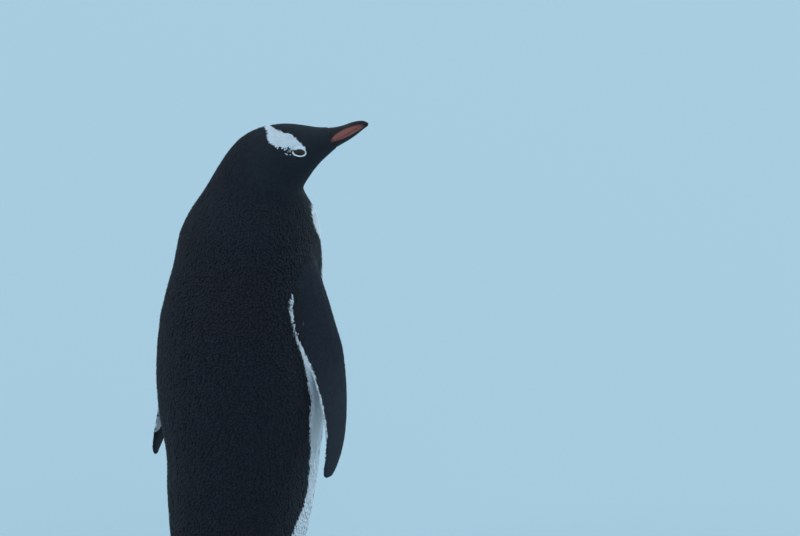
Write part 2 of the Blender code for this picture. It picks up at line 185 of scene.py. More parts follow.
TINTS = {
    "back": (0.0105, 0.012, 0.0175),
    "neck": (0.013, 0.016, 0.023),
    "head": (0.015, 0.020, 0.028),
    "flipper": (0.015, 0.020, 0.030),
    "tail": (0.013, 0.013, 0.016),
    "shaft": (0.035, 0.030, 0.028),
    # front and patch: white feathers with painted shade, a little darker and bluer than white, the patch most
    "front": (0.78, 0.82, 0.86),
    "patch": (0.70, 0.78, 0.84),
    "tip": (0.030, 0.037, 0.052),
    "lid": (0.74, 0.77, 0.80),
    "rim": (0.012, 0.010, 0.010),
    "pupil": (0.003, 0.003, 0.003),
    "iris": (0.022, 0.012, 0.006),
    "eyeball": (0.02, 0.015, 0.012),
    "foot": (0.62, 0.20, 0.09),
    "sole": (0.05, 0.035, 0.03),
    "claw": (0.03, 0.024, 0.02),
    "bill": (0.012, 0.012, 0.014),
    # orange of the bill, dulled halfway towards its look in blue shade: partly painted shade
    "orange": (0.245, 0.082, 0.066),
}
TINTS = {name: np.array(tint) for name, tint in TINTS.items()}

FLOOR_HALF = 15  # metres
FLOOR_COLOUR = (0.40, 0.52, 0.57, 1)
SKY = ((0.65, 0.84, 1.0, 1), 0.7)  # colour and strength
LIGHT_AIM = (0, 0, 0.35)
LIGHTS = [  # name, from where, spread in degrees, strength, colour
    ("key", (1.6, 1.4, 2.6), 50, 1.1, (0.86, 0.94, 1.0)),
    ("fill", (-2.4, 1.8, 1.6), 70, 0.5, (0.86, 0.94, 1.0)),
    ("rim", (-1.1, -2.3, 1.8), 40, 1.6, (0.72, 0.92, 1.0)),
]
CAMERA = {"azimuth": 210, "elevation": 12, "lens": 135, "distance": 3.54}
CAMERA_AIM = (0.18526, 0.41866)  # to the right of the bird's place on the floor, and above it
COAT_PIECES = [  # name, the nodes it grows on, layout, slot, from and to height
    ("trunk_low", "trunk", "body", "back", 0, 190),
    ("trunk_mid", "trunk", "body", "back", 190, 330),
    ("trunk_high", "trunk", "body", "back", 330, 700),
    ("neck", "neck", "body", "head", 0, 700),
    ("head", "head", "head", "head", 0, 700),
    ("flipper_left", "flipper_left", "flipper", "flipper", 0, 700),
    ("flipper_right", "flipper_right", "flipper", "flipper", 0, 700),
    ("legs", ("leg", "foot"), "body", "leg", 0, 700),
    ("tail", "tail", "body", "tail", 66, 700),
]


# ---- places


def unit(vectors):
    return vectors / np.maximum(np.linalg.norm(vectors, axis=-1, keepdims=True), 1e-12)


def middle(node):
    low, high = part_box(node)
    return (low + high) / 2


EYES = {word: np.array(middle("eye_" + word)) for word in SIDES}
EYE_RADIUS = float(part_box("eye_left")[1].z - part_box("eye_left")[0].z) / 2
HEAD_MIDDLE = (EYES["left"] + EYES["right"]) / 2
HEAD_SIDE = unit(EYES["left"] - EYES["right"])
HEAD_FORWARD = unit(np.cross(HEAD_SIDE, (0, 0, 1)))
HEAD_UP = np.cross(HEAD_FORWARD, HEAD_SIDE)
HEAD_AXES = np.stack([HEAD_SIDE, HEAD_FORWARD, HEAD_UP])
HEEL_SIDE = abs((middle("leg_left") - middle("leg_right")).x) / MM / 2
LEG_MIDDLE = np.array((middle("leg_left") + middle("leg_right")) / 2)
BODY_ORIGIN = LEG_MIDDLE * (1, 1, 0) - (0, LEG_BACK * MM, 0)


def in_head(points):
    """Head places in millimetres."""
    return (points - HEAD_MIDDLE) @ HEAD_AXES.T / MM


def in_body(points):
    """Body places in millimetres."""
    return (points - BODY_ORIGIN) * (1, -1, 1) / MM


def from_body(places):
    """Places in the frame, from body places."""
    return BODY_ORIGIN + places * (1, -1, 1) * MM


def bill_base():
    """Middle of the bill's base, as a head place."""
    halves = [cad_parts["bill_" + half].data for half in ("upper", "lower")]
    places = in_head(np.array([v.co for mesh in halves for v in mesh.vertices]))
    return places[places[:, 1] < places[:, 1].min() + 6].mean(0) * (0, 1, 1)


BILL_BASE = bill_base()


def ease(low, high, values):
    """0 below low, 1 above high, smooth between."""
    share = np.clip((values - low) / (high - low), 0, 1)
    return share * share * (3 - 2 * share)


def blend(tint, other, share):
    """A tint turned to another one by a share for each place."""
    share = np.reshape(share, (-1, 1))
    return tint * (1 - share) + other * share


# ---- meshes as arrays


def read_mesh(mesh):
    """Vertices and triangles of a mesh."""
    points = np.empty(len(mesh.vertices) * 3, np.float32)
    mesh.vertices.foreach_get("co", points)
    mesh.calc_loop_triangles()
    faces = np.empty(len(mesh.loop_triangles) * 3, np.int32)
    mesh.loop_triangles.foreach_get("vertices", faces)
    return points.reshape(-1, 3).astype(float), faces.reshape(-1, 3)


def make_mesh(name, points, faces):
    mesh = bpy.data.meshes.new(name)
    mesh.vertices.add(len(points))
    mesh.vertices.foreach_set("co", points.astype(np.float32).ravel())
    mesh.loops.add(faces.size)
    mesh.loops.foreach_set("vertex_index", faces.astype(np.int32).ravel())
    mesh.polygons.add(len(faces))
    mesh.polygons.foreach_set("loop_start", np.arange(0, faces.size, faces.shape[1], dtype=np.int32))
    mesh.update(calc_edges=True)
    mesh.shade_smooth()
    return mesh


def add_object(name, mesh):
    thing = bpy.data.objects.new(name, mesh)
    bpy.context.scene.collection.objects.link(thing)
    return thing


def tinted_mesh(name, points, faces, tint):
    """A mesh with a colour at every vertex."""
    mesh = make_mesh(name, points, faces)
    layer = mesh.color_attributes.new("tint", "FLOAT_COLOR", "POINT")
    rgba = np.ones((len(points), 4), np.float32)
    rgba[:, :3] = tint
    layer.data.foreach_set("color", rgba.ravel())
    return mesh


def taken(mesh):
    """Vertices and triangles of a mesh that isn't kept."""
    points, faces = read_mesh(mesh)
    bpy.data.meshes.remove(mesh)
    return points, faces


def finished(made):
    """Vertices and triangles of a bmesh that isn't kept."""
    mesh = bpy.data.meshes.new("finished")
    made.to_mesh(mesh)
    made.free()
    return taken(mesh)


def add_piece(mesh, material, slot, *replaced):
    """A finished piece, which rides on the one body and stands for CAD nodes."""
    mesh.materials.append(material)
    thing = add_object(mesh.name, mesh)
    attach(thing, "root")
    if replaced:
        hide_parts(*replaced)


def face_crosses(points, faces):
    """Normals of triangles, as long as twice their area."""
    a, b, c = points[faces].swapaxes(0, 1)
    return np.cross(b - a, c - a)


def vertex_normals(points, faces):
    crosses = face_crosses(points, faces)
    total = np.zeros_like(points)
    for k in range(3):
        for axis in range(3):
            total[:, axis] += np.bincount(faces[:, k], crosses[:, axis], len(points))
    return unit(total)


def modified(points, faces, kind, weights=None, **settings):
    """Points and faces after one modifier, which works on each vertex by its weight."""
    thing = add_object("work", make_mesh("work", points, faces))
    change = thing.modifiers.new(kind, kind)
    for name, value in settings.items():
        setattr(change, name, value)
    if weights is not None:
        group = thing.vertex_groups.new(name="work")
        change.vertex_group = group.name
        for level in np.unique(weights):
            group.add(np.flatnonzero(weights == level).tolist(), float(level), "REPLACE")
    shapes = bpy.context.evaluated_depsgraph_get()
    mesh = bpy.data.meshes.new_from_object(thing.evaluated_get(shapes))
    bpy.data.objects.remove(thing)
    return taken(mesh)


class Web:
    """The edges of a mesh, for smoothing values over it."""

    def __init__(self, faces, count):
        pairs = np.concatenate([faces[:, [0, 1]], faces[:, [1, 2]], faces[:, [2, 0]]])
        pairs.sort(axis=1)
        pairs = np.unique(pairs[:, 0].astype(np.int64) * count + pairs[:, 1])
        self.a, self.b = pairs // count, pairs % count
        self.count = count
        self.degree = np.bincount(self.a, minlength=count) + np.bincount(self.b, minlength=count)

    def mean(self, values):
        """The mean of each vertex's neighbours."""
        rows = values.reshape(self.count, -1)
        out = np.empty_like(rows)
        for k in range(rows.shape[1]):
            out[:, k] = np.bincount(self.a, rows[self.b, k], self.count)
            out[:, k] += np.bincount(self.b, rows[self.a, k], self.count)
        return (out / np.maximum(self.degree, 1)[:, None]).reshape(values.shape)

    def smooth(self, values, rounds, share=0.5):
        """share may be a number or one per vertex."""
        if np.ndim(share) and values.ndim > 1:
            share = share[:, None]
        for _ in range(rounds):
            values = values + (self.mean(values) - values) * share
        return values


# ---- skin


def welded(node):
    """Points and faces of a CAD node with its split corners joined."""
    made = bmesh.new()
    made.from_mesh(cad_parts[node].data)
    bmesh.ops.remove_doubles(made, verts=made.verts, dist=1e-5)
    bmesh.ops.triangulate(made, faces=made.faces)
    return finished(made)


def stack(pieces):
    """Several meshes as one."""
    points, faces, start = [], [], 0
    for p, f in pieces:
        points.append(p)
        faces.append(f + start)
        start += len(p)
    return np.concatenate(points), np.concatenate(faces)


def cast(points, faces, voxel):
    """The outside of a closed mesh, made anew of small even faces."""
    return modified(points, faces, "REMESH", mode="VOXEL", voxel_size=voxel * MM, adaptivity=0)


def cast_skin():
    """One closed surface round all the flesh, close enough to the solids to close their seams."""
    pieces = []
    for node in [*FLESH, "eye_left", "eye_right"]:
        points, faces = welded(node)
        pieces.append((points + vertex_normals(points, faces) * (SWELL * MM), faces))
    points, faces = cast(*stack(pieces), VOXEL)
    return points - vertex_normals(points, faces) * (SWELL * MM), faces


class Solids:
    """The flesh nodes, to find which one a point is nearest to, and where."""

    def __init__(self):
        pieces = [welded(node) for node in FLESH]
        points, faces = stack(pieces)
        self.owner = np.concatenate([np.full(len(f), i) for i, (_, f) in enumerate(pieces)])
        self.tree = bvhtree.BVHTree.FromPolygons(points.tolist(), faces.tolist())

    def labels(self, points):
        return self.owner[[self.tree.find_nearest(p)[2] for p in points.tolist()]]

    def nearest(self, points):
        return np.array([self.tree.find_nearest(p)[0] for p in points.tolist()])


def is_part(labels, words):
    """Whether each label is a node whose name starts with the word, or one of the words."""
    return np.isin(labels, [i for i, node in enumerate(FLESH) if node.startswith(words)])


def by_part(labels, table):
    """A table's value for each label."""
    values = np.zeros(len(labels))
    for word, value in table.items():
        values[is_part(labels, word)] = value
    return values


def soften(points, faces, labels):
    """Rounds the solids' facets and the creases where legs, flippers and tail join the trunk."""
    web = Web(faces, len(points))
    seam = np.zeros(len(points))
    mixed = labels[web.a] != labels[web.b]
    seam[web.a[mixed]] = 1
    seam[web.b[mixed]] = 1
    seam[in_body(points)[:, 2] < ANKLE_TOP] = 0
    seam = np.clip(web.smooth(seam, 5) * 2.2, 0, 1)
    share = np.maximum(web.smooth(by_part(labels, SOFTNESS), 6), SEAM_SOFTNESS * seam)
    return modified(points, faces, "SMOOTH", np.round(share, 2), factor=1.0, iterations=70)


def thinned(points, faces, labels):
    """Fewer triangles where feathers hide the skin."""
    coarse = np.where(is_part(labels, ("head", "foot")), 0.0, 1.0)
    ratio = SKIN_TRIANGLES / len(faces)
    return modified(points, faces, "DECIMATE", coarse, ratio=ratio, vertex_group_factor=20.0)


def refined(points, faces, chosen):
    """The mesh with every edge inside the chosen part cut in two."""
    mesh = make_mesh("refine", points, faces)
    made = bmesh.new()
    made.from_mesh(mesh)
    bpy.data.meshes.remove(mesh)
    made.verts.ensure_lookup_table()
    edges = [e for e in made.edges if chosen[e.verts[0].index] and chosen[e.verts[1].index]]
    bmesh.ops.subdivide_edges(made, edges=edges, cuts=1, use_grid_fill=True)
    bmesh.ops.triangulate(made, faces=[f for f in made.faces if len(f.verts) > 3])
    return finished(made)


# ---- shape of the skin


def eye_frame(word):
    """Centre of an eyeball and its axes: forward along the head, up, and out of the head."""
    side = SIDES[word]
    out = unit(HEAD_SIDE * side + HEAD_FORWARD * EYE_LOOK[0] + HEAD_UP * EYE_LOOK[1])
    along = unit(HEAD_FORWARD - out * (HEAD_FORWARD @ out))
    up = np.cross(along, out) * side
    tilt = math.radians(EYE_TILT)
    level, rise = math.cos(tilt), math.sin(tilt)
    return EYES[word], np.stack([along * level - up * rise, up * level + along * rise, out])


def eye_places(points, word):
    """Places round an eye in millimetres (along, up, out), and the almond measure: 1 on the lids' edge."""
    centre, axes = eye_frame(word)
    local = (points - centre) @ axes.T / MM
    half = np.where(local[:, 1] > 0, EYE_OPENING[1], EYE_OPENING[2])
    almond = np.sqrt((local[:, 0] / EYE_OPENING[0]) ** 2 + (local[:, 1] / half) ** 2)
    return local, almond


def cut_lids(points):
    """Draws the skin in behind each eyeball inside an almond opening and raises a lid round it."""
    radius = EYE_RADIUS / MM
    for word in SIDES:
        centre = EYES[word]
        local, almond = eye_places(points, word)
        reach = np.linalg.norm(local, axis=1)
        front = (local[:, 2] > 0) & (reach < 22)
        lid = radius + LID_THICKNESS - 0.5 * ease(1.25, 1.0, almond)
        lid = lid + LID_FOLD * np.exp(-(((almond - 1.75) / 0.22) ** 2))
        inside = radius - 1.6
        target = inside + (lid - inside) * ease(0.93, 1.03, almond)
        near = 1 - ease(1.7, 2.7, almond)
        wanted = target * near + np.maximum(reach, radius + 0.5) * (1 - near)
        change = np.where(front & (almond < 2.7), wanted / np.maximum(reach, 1e-6), 1)
        points = centre + (points - centre) * change[:, None]
    return points


def near_eye(points):
    return np.minimum(*[np.linalg.norm(points - EYES[w], axis=1) / MM for w in SIDES])


def face_share(points):
    """1 round the base of the bill, fading to 0 over the cheeks."""
    return ease(*FACE_REACH, np.linalg.norm(in_head(points) - BILL_BASE, axis=1))


def filled_out(points, faces, solids, web):
    """A smoothed surface brought back out to the solids' own size, and a little past it."""
    for _ in range(FILL_ROUNDS):
        normals = vertex_normals(points, faces)
        gap = np.sum((solids.nearest(points) - points) * normals, axis=1) / MM + FILL_PAST
        gap = np.where(gap < 0, gap * 0.15, gap)
        gap = np.clip(gap, -0.4, 2.0) * ease(6, 14, near_eye(points))
        points = points + normals * (web.smooth(gap, 6) * MM)[:, None]
    return points


def ankle(body):
    """Height where the feathers of the legs end."""
    return ANKLE_TOP - ANKLE_DROP * ease(6, -12, body[:, 1]) * (body[:, 1] > -35)


def coat_depth(points, labels, web):
    """How far the feathers stand out of the skin, in millimetres."""
    body = in_body(points)
    depth = web.smooth(by_part(labels, COAT_DEPTH), 25)
    depth *= 1 - 0.75 * face_share(points)
    depth *= ease(4, 16, near_eye(points) - EYE_RADIUS / MM * 0.9) * 0.8 + 0.2
    line = ankle(body)
    depth[body[:, 2] < line] = 0
    depth *= 0.35 + 0.65 * ease(line - 3, line + 12, body[:, 2])
    return depth


def carve_feet(points, normals, labels):
    """Low plates across the tops of the toes, and level soles."""
    body = in_body(points)
    foot = is_part(labels, "foot")
    heel = np.stack([np.sign(body[:, 0]) * HEEL_SIDE, np.full(len(body), -6.0)], 1)
    reach = np.linalg.norm(body[:, :2] - heel, axis=1)
    upper = np.clip(normals[:, 2], 0, 1) ** 0.5
    plates = np.abs(np.sin(reach * math.pi / PLATE_GAP)) ** 0.5 * PLATE_HEIGHT * upper
    points = points + normals * (plates * foot * ease(14, 24, reach) * MM)[:, None]
    points[:, 2] = np.where(foot & (body[:, 2] < SOLE), 0.0, points[:, 2])
    points[:, 2] = np.maximum(points[:, 2], 0.0)
    return points


class Skin:
    """The finished surface. The shown normals are smoother ones, for the vanes."""

    def __init__(self):
        points, faces = cast_skin()
        solids = Solids()
        points, faces = soften(points, faces, solids.labels(points))
        points, faces = thinned(points, faces, solids.labels(points))
        points, faces = refined(points, faces, near_eye(points) < 20)
        points, faces = refined(points, faces, near_eye(points) < 16)
        points, faces = refined(points, faces, is_part(solids.labels(points), "foot"))
        labels = solids.labels(points)
        web = Web(faces, len(points))
        points = filled_out(points, faces, solids, web)
        self.depth = coat_depth(points, labels, web)
        normals = vertex_normals(points, faces)
        points = points - web.smooth(normals, 4) * (self.depth * MM)[:, None]
        points = cut_lids(points)
        points = carve_feet(points, normals, labels)
        self.points, self.faces, self.labels, self.web = points, faces, labels, web
        self.normals = vertex_normals(points, faces)
        broad = np.where(is_part(labels, ("trunk", "neck")), 1.0, 0.0)
        broad = np.clip(web.smooth(broad, 12) * 2 - 1, 0, 1)
        self.shown = unit(web.smooth(self.normals, 60, 0.5 * broad))
        self.body = in_body(points)
        self.tree = bvhtree.BVHTree.FromPolygons(points.tolist(), faces.tolist())


# ---- markings


def flipper_edge(body):
    """How far forward of its flipper's trailing edge each place is, and the flipper's width there."""
    size, count = BLADE_BANDS
    band = np.clip((body[:, 2] / size).astype(int), 0, count - 1) + count * (body[:, 0] > 0)
    low, high = np.full(2 * count, 1e9), np.full(2 * count, -1e9)
    np.minimum.at(low, band, body[:, 1])
    np.maximum.at(high, band, body[:, 1])
    return body[:, 1] - low[band], np.maximum(high - low, 1)[band]


def outermost(body):
    """Whether each place is on a flipper's outer face, not on what it covers."""
    size, rows, columns = BLADE_GRID
    row = np.clip((body[:, 2] / size).astype(int), 0, rows - 1)
    column = np.clip((body[:, 1] / size + columns / 2).astype(int), 0, columns - 1)
    cell = ((body[:, 0] > 0) * rows + row) * columns + column
    far = np.zeros(2 * rows * columns)
    np.maximum.at(far, cell, np.abs(body[:, 0]))
    return np.abs(body[:, 0]) > far[cell] - BLADE_THICK


def look_up(values, table, column=1):
    """What a table gives for each value, between its rows too."""
    return np.interp(values, table[:, 0], table[:, column])


def back_share(body):
    """1 on the dark back, 0 on the white front, with the line between them by height, and 1 on the flank
    under each flipper's root, where shade is painted.
    """
    front = look_up(body[:, 2], SLIT_LINE) + FLIPPER_ROOT
    # painted shade: the white flank just forward of the slit, under the flipper's root, is made dark
    shade_under_flipper = slit_share(body) * ease(SLIT_FOOT, SLIT_FOOT + 2, body[:, 2])
    shade_under_flipper *= ease(1.5, -1.5, body[:, 1] - front) * (body[:, 2] < FLIPPER_TOP)
    return np.maximum(ease(1.5, -1.5, body[:, 1] - look_up(body[:, 2], SIDE_LINE)), shade_under_flipper)


def slit_share(body):
    """1 in front of the white slit along each flipper's hind edge."""
    ahead = body[:, 1] - look_up(body[:, 2], SLIT_LINE)
    return np.maximum(ease(-0.5, 0.5, ahead), body[:, 2] > SLIT_LINE[-1, 0])


def inside_patch(head):
    """How far inside the white patch over each eye and across the crown each place is."""
    rise = head[:, 2] * PATCH_VIEW[0] + (EYE_SIDE - np.abs(head[:, 0])) * PATCH_VIEW[1]
    inside = np.minimum(head[:, 1] - look_up(rise, PATCH_HIND), look_up(rise, PATCH_FORE) - head[:, 1])
    return np.minimum(inside, rise - PATCH_FOOT)


def orange_share(head):
    """1 on the orange plates along the bill, fading out at both ends."""
    top, foot = look_up(head[:, 1], ORANGE), look_up(head[:, 1], ORANGE, 2)
    share = ease(top + 1.2, top - 1.2, head[:, 2]) * ease(foot - 0.9, foot + 0.9, head[:, 2])
    return share * ease(*ORANGE_START, head[:, 1]) * ease(*ORANGE_END, head[:, 1])


def bib_height(body):
    """Height above the bird's bib line, lower at the middle of the throat."""
    across = np.abs(body[:, 0] - BIB_SIDE)
    return body[:, 2] - BIB_LINE + BIB_DIP[0] * np.exp(-((across / BIB_DIP[1]) ** 2))


def head_markings(tint, head, labels, random, shake, feathers):
    """Black face, lores like the bill, and white patch with stray feathers along its lower edge."""
    count = len(head)
    face = is_part(labels, "head")
    tint = blend(tint, TINTS["head"], face * ease(-75, -30, head[:, 1]))
    lores = ease(-4.5, -1.5, (head - BILL_BASE) @ BILL_PLANE) * face
    tint = blend(tint, blend(TINTS["bill"], TINTS["orange"], orange_share(head)), lores)
    inside = inside_patch(head + shake * 0.35)
    white = ease(-0.6, 0.6, inside)
    fleck = (inside > -FLECKS[0]) & (head[:, 1] < FLECKS[1]) & (head[:, 2] < FLECKS[2]) & feathers
    white = np.maximum(white, (random.random(count) < FLECKS[3]) & fleck)
    hole = (inside < HOLES[0]) & (head[:, 1] < HOLES[1]) & (head[:, 2] < HOLES[2]) & feathers
    white = np.where((random.random(count) < HOLES[3]) & hole, 0, white)
    return blend(tint, TINTS["patch"], white * face)


def flipper_markings(body, normals):
    """Dark outer face with a white trailing edge, and a white inner one with dark tip and front."""
    edge, width = flipper_edge(body)
    outer = (normals[:, 0] * np.sign(body[:, 0]) > -0.15) & outermost(body)
    tip = body[:, 2] < DARK_TIP[0] + DARK_TIP[1] * np.minimum(edge, 30)
    under = np.where((edge > width - DARK_LEAD) | tip, 1.0, 0.0)
    low = ease(-0.4, 0.4, edge - look_up(body[:, 2], WHITE_EDGE))
    dark_side = np.where(body[:, 2] < SLIT_LINE[0, 0], low, slit_share(body))
    return blend(TINTS["front"], TINTS["flipper"], np.where(outer, dark_side, under))


def colours(points, normals, labels, random, jitter):
    """The markings: linear colour at each place. jitter, in millimetres, makes their edges ragged."""
    count = len(points)
    shake = random.normal(0, 1, (count, 4)) * jitter
    body = in_body(points) + shake[:, :3] * (1, 1, 1.6)
    tint = blend(TINTS["back"], TINTS["neck"], ease(*NECK_BLEND, body[:, 2]))
    dark = np.maximum(back_share(body), ease(-1.5, 1.5, bib_height(body)))
    tint = blend(TINTS["front"], tint, dark)
    tint = head_markings(tint, in_head(points), labels, random, shake[:, 1:4], jitter > 0)
    wing = is_part(labels, "flipper")
    plain = in_body(points) + shake[:, :3] * 0.25
    tint[wing] = flipper_markings(plain[wing], normals[wing])
    tail = is_part(labels, "tail") & ((normals[:, 2] > -0.2) | (body[:, 1] < TAIL_DARK))
    tint[tail] = TINTS["tail"]
    return tint


# ---- coat


def lie(points, normals, labels):
    """The way the feathers point at each place on the skin."""
    head = in_head(points)
    body = in_body(points)
    flow = unit(head - (BILL_BASE + LIE_START)) @ HEAD_AXES
    down = np.tile((0.0, 0.25, -1.0), (len(points), 1))
    down[:, 1] += 0.9 * ease(150, 60, body[:, 2])
    down[is_part(labels, "flipper")] = (0, 0.10, -1)
    down[is_part(labels, "tail")] = (0, 0.78, -0.62)
    down[is_part(labels, ("leg", "foot"))] = (0, -0.05, -1)
    share = ease(-25, -85, head[:, 1] + 0.35 * head[:, 2])[:, None]
    share = np.maximum(share, ~is_part(labels, ("head", "neck"))[:, None])
    way = flow * (1 - share) + down * share
    return unit(way - normals * np.sum(way * normals, axis=1, keepdims=True))


def spacing(skin):
    """Distance between roots: less on the face and along the back's edge under a flipper."""
    space = skin.web.smooth(by_part(skin.labels, SPACING), 30)
    space *= 1 - 0.38 * face_share(skin.points)
    space *= 1 - 0.4 * ease(24, 10, near_eye(skin.points))
    height = skin.body[:, 2]
    edge = ease(9, 4, np.abs(skin.body[:, 1] - look_up(height, SIDE_LINE))) * ease(270, 300, height)
    edge *= ease(FLIPPER_TOP, FLIPPER_TOP - 13, height) * is_part(skin.labels, "trunk")
    return space * (1 - 0.45 * edge)


def scattered(skin, space, random):
    """Many random places on the coated skin: their faces, shares of the corners, and points."""
    middles = skin.points[skin.faces].mean(1)
    area = np.linalg.norm(face_crosses(skin.points, skin.faces), axis=1) / 2 / MM**2
    bare = (skin.depth[skin.faces] <= 0).any(1)
    for word in SIDES:
        local, almond = eye_places(middles, word)
        bare |= (almond < LID_EDGE) & (local[:, 2] > 0)
    weight = np.where(bare, 0, area / space[skin.faces].mean(1) ** 2)
    count = int(weight.sum() * TRIES)
    face = random.choice(len(weight), count, p=weight / weight.sum())
    u, v = random.random((2, count))
    flip = u + v > 1
    u[flip], v[flip] = 1 - u[flip], 1 - v[flip]
    share = np.stack([1 - u - v, u, v], 1)
    return face, share, at_roots(skin.points, skin, face, share)


def roots(skin, random):
    """Feather roots spread evenly over the coated skin."""
    space = spacing(skin)
    face, share, where = scattered(skin, space, random)
    reach = at_roots(space, skin, face, share) * MM * SPREAD
    tree = kdtree.KDTree(len(where))
    for i, p in enumerate(where.tolist()):
        tree.insert(p, i)
    tree.balance()
    free = np.ones(len(where), bool)
    kept = []
    for i, place in enumerate(where):
        if free[i]:
            kept.append(i)
            for _, j, _ in tree.find_range(place, reach[i]):
                free[j] = False
    return face[kept], share[kept], where[kept], reach[kept] / MM / SPREAD


def at_roots(values, skin, face, share):
    """The skin's values at places given by a face and shares of its corners."""
    return np.einsum("ij,ij...->i...", share, values[skin.faces[face]])


# triangles of one vane, which has three points across each row and one at the tip
VANE_FACES = [f for a in (0, 1, 3, 4, 6, 7) for f in ((a, a + 4, a + 1), (a, a + 3, a + 4))]
VANE_FACES = np.array([*VANE_FACES, (9, 12, 10), (10, 12, 11)])
VANE_ALONG = np.repeat(ROWS, [3, 3, 3, 3, 1])
VANE_SIDE = np.array([-1, 0, 1] * 4 + [0.0])


def nearest_places(skin, points):
    """The nearest places on the skin, and its normals there."""
    found = [skin.tree.find_nearest(p)[:2] for p in points.tolist()]
    return np.array([f[0] for f in found]), np.array([f[1] for f in found])


class Coat:
    """Every feather's vane: where it grows, its points, shading normals and colours."""

    def __init__(self, skin, random):
        face, share, self.root, space = roots(skin, random)
        count = len(self.root)
        self.normal = unit(at_roots(skin.normals, skin, face, share))
        self.turn = unit(at_roots(skin.shown, skin, face, share)) - self.normal
        depth = at_roots(skin.depth, skin, face, share)
        self.label = skin.labels[skin.faces[face, share.argmax(1)]]
        way = lie(self.root, self.normal, self.label)
        swing = np.radians(random.normal(0, 6, count))[:, None]
        way = way * np.cos(swing) + np.cross(self.normal, way) * np.sin(swing)
        wing = is_part(self.label, "flipper")
        length = space * np.where(wing, VANE_LENGTH * WING_LENGTH, VANE_LENGTH)
        length *= random.uniform(0.88, 1.14, count)
        width = space * VANE_WIDTH * random.uniform(0.9, 1.1, count)
        tips, tip_normals = nearest_places(skin, self.root + way * (length * MM)[:, None])
        self.shape(tips, tip_normals, width, depth * random.uniform(0.88, 1.12, count))
        self.barb = length[:, None] * VANE_ALONG - np.abs(VANE_SIDE) * width[:, None] * 0.9
        self.colour = self.coloured(self.root * 0.4 + tips * 0.6, random)

    def shape(self, tips, tip_normals, width, lift):
        """Vanes from their roots to the tips, lifted off the skin and arched across."""
        tip_normals = unit(tip_normals + self.normal * 0.6)
        across = unit(np.cross(tip_normals + self.normal, tips - self.root))
        self.points = np.empty((len(tips), VANE_POINTS, 3))
        self.normals = np.empty((len(tips), VANE_POINTS, 3))
        for k, (row, side) in enumerate(zip(VANE_ALONG, VANE_SIDE)):
            half = width * ROW_WIDTH[np.searchsorted(ROWS, row)]
            up = unit(self.normal * (1 - row) + tip_normals * row)
            height = (1.25 * row**0.8 - 0.25) * lift - abs(side) * half * VANE_ARCH
            flat = self.root * (1 - row) + tips * row + across * (side * half * MM)[:, None]
            self.points[:, k] = flat + up * (height * MM)[:, None]
            self.normals[:, k] = unit(up + self.turn + across * side * VANE_ROUND)
        self.points[..., 2] = np.maximum(self.points[..., 2], LOWEST * MM)

    def coloured(self, places, random):
        """Each vane takes the marking under its outer half, and dark ones pale a little at the tip."""
        count = len(places)
        tint = colours(places, self.normal, self.label, random, JITTER)
        dark = (tint.max(1) < DARK)[:, None]
        tint = tint * (1 + np.where(dark, 0.14, 0.05) * random.uniform(-1, 1, (count, 1)))
        shade = np.interp(VANE_ALONG, [0, 0.6, 1], TIP_SHADE)
        colour = tint[:, None, :] * np.where(dark[:, None], shade[None, :, None], 1.0)
        share = ease(0.7, 1.0, VANE_ALONG)[None, :, None] * random.uniform(0, 0.5, count)[:, None, None]
        return np.where(dark[:, None], colour * (1 - share) + TINTS["tip"] * share, colour)


def unwrap(where, normals, kind):
    """Roots laid out flat for the bake: cylinders for body and head, two sheets for a flipper."""
    body, head = in_body(where), in_head(where)
    if kind == "flipper":
        outer = normals[:, 0] * np.sign(body[:, 0]) > 0
        across = np.clip((body[:, 1] + 60) / 130, 0.02, 0.98) * 0.48 + 0.5 * outer
        up = body[:, 2] / 480
    elif kind == "head":
        across = np.arctan2(head[:, 0], head[:, 2] + 8) / math.tau + 0.5
        up = (head[:, 1] + 100) / 180
    else:
        across = np.arctan2(body[:, 0], -body[:, 1]) / math.tau + 0.5
        up = body[:, 2] / 620
    return np.stack([across, np.clip(up, 0, 1)], 1)


def add_feathers(name, slot, material, faces, flat, places, points, normals, tints, barbs):
    """Many like feathers as a piece: one feather's faces and flat shape, then a row of each for all."""
    count, size = points.shape[:2]
    faces = (faces[None] + size * np.arange(count)[:, None, None]).reshape(-1, 3)
    mesh = tinted_mesh("feathers_" + name, points.reshape(-1, 3), faces, tints.reshape(-1, 3))
    barb = mesh.attributes.new("barb", "FLOAT", "POINT")
    barb.data.foreach_set("value", barbs.astype(np.float32).ravel())
    spots = places[:, None, :] * (1 - 2 * MARGIN) + MARGIN + flat * PATCH
    spots = np.clip(spots, 0, 1).reshape(-1, 2)
    uv = mesh.uv_layers.new(name="OFBake")
    uv.data.foreach_set("uv", spots[faces.ravel()].astype(np.float32).ravel())
    mesh.normals_split_custom_set_from_vertices(normals.reshape(-1, 3).tolist())
    add_piece(mesh, material, slot + "_feathers")


def add_coat(coat, material):
    height = in_body(coat.root)[:, 2]
    flat = np.stack([VANE_SIDE, VANE_ALONG - 0.5], 1)
    for name, words, kind, slot, low, high in COAT_PIECES:
        chosen = is_part(coat.label, words) & (height >= low) & (height < high)
        places = unwrap(coat.root[chosen], coat.normal[chosen], kind)
        rows = (values[chosen] for values in (coat.points, coat.normals, coat.colour, coat.barb))
        add_feathers(name, slot, material, VANE_FACES, flat, places, *rows)


